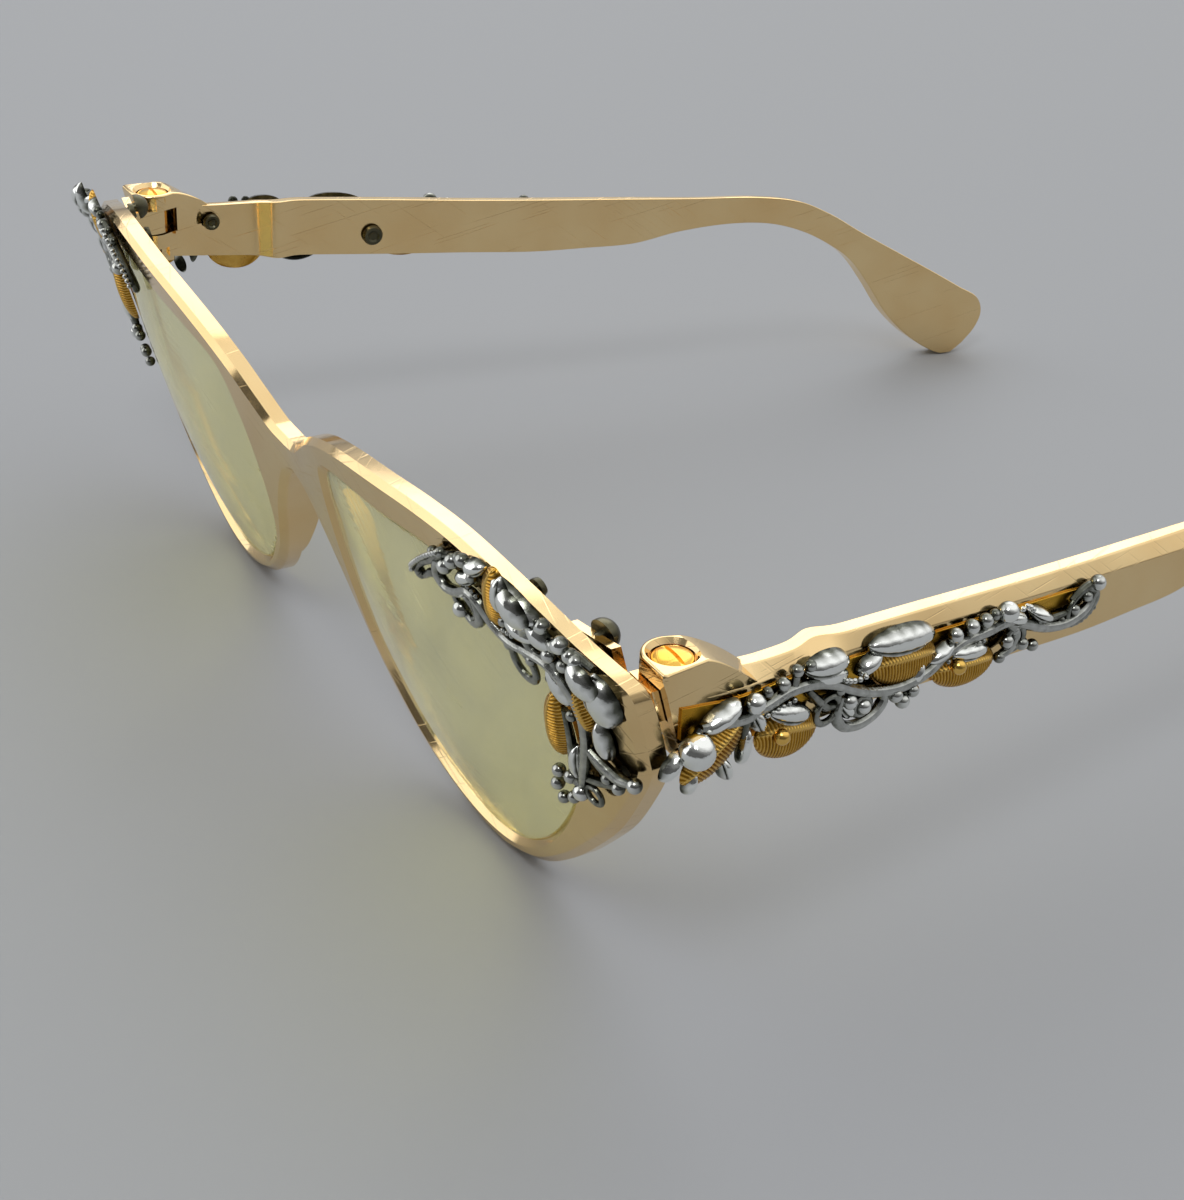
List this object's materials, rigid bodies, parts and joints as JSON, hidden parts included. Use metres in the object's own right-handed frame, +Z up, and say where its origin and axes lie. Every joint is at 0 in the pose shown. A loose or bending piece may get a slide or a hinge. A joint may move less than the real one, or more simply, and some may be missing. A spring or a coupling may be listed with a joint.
{
  "type": "cat-eye eyeglasses",
  "caption": "Cat-eye eyeglasses with a gold metal front, clear lenses, folding temples on screwed hinges, and leaf, vine and bead trim at the wings.",
  "frame": {"origin": "centre of the footprint of the open glasses, on the table they stand on", "axes": "+X to the wearer's left, across the front; +Y back along the temples; +Z up"},
  "size_m": [0.1426, 0.1389, 0.0436],
  "materials": {
    "gold_anodised": "polished pale gold anodising",
    "brass": "polished",
    "silver_plate": "bright silver plate, darkened in the recesses",
    "leaf_gold": "ribbed gold plate",
    "dark_rivet": "darkened",
    "lens": "clear, slightly yellow-green"
  },
  "bodies": {
    "front": {"front_frame": "gold_anodised", "lens_left": "lens", "hinge_lug_left": "gold_anodised", "lug_rivet_left_1": "dark_rivet", "lug_rivet_left_2": "dark_rivet", "front_trim_rivet_left_1": "dark_rivet", "front_trim_rivet_left_2": "dark_rivet", "front_vine_left": "silver_plate", "front_leaf_left_1": "leaf_gold", "front_leaf_left_2": "leaf_gold", "lens_right": "lens", "hinge_lug_right": "gold_anodised", "lug_rivet_right_1": "dark_rivet", "lug_rivet_right_2": "dark_rivet", "front_trim_rivet_right_1": "dark_rivet", "front_trim_rivet_right_2": "dark_rivet", "front_vine_right": "silver_plate", "front_leaf_right_1": "leaf_gold", "front_leaf_right_2": "leaf_gold"},
    "temple_left": {"temple_left": "gold_anodised", "hinge_screw_left": "brass", "temple_vine_left": "silver_plate", "temple_leaf_left_1": "leaf_gold", "temple_leaf_left_2": "leaf_gold", "temple_leaf_left_3": "leaf_gold", "temple_leaf_left_4": "leaf_gold", "temple_trim_rivet_left_1": "dark_rivet", "temple_trim_rivet_left_2": "dark_rivet"},
    "temple_right": {"temple_right": "gold_anodised", "hinge_screw_right": "brass", "temple_vine_right": "silver_plate", "temple_leaf_right_1": "leaf_gold", "temple_leaf_right_2": "leaf_gold", "temple_leaf_right_3": "leaf_gold", "temple_leaf_right_4": "leaf_gold", "temple_trim_rivet_right_1": "dark_rivet", "temple_trim_rivet_right_2": "dark_rivet"}
  },
  "joints": [
    {"name": "temple_left_fold", "type": "hinge", "parent": "front", "child": "temple_left", "pos_m": [0.0646, -0.05601, 0.0345], "axis": [0, 0, 1], "range_deg": [0, 78]},
    {"name": "temple_right_fold", "type": "hinge", "parent": "front", "child": "temple_right", "pos_m": [-0.0646, -0.05601, 0.0345], "axis": [0, 0, -1], "range_deg": [0, 63]}
  ]
}
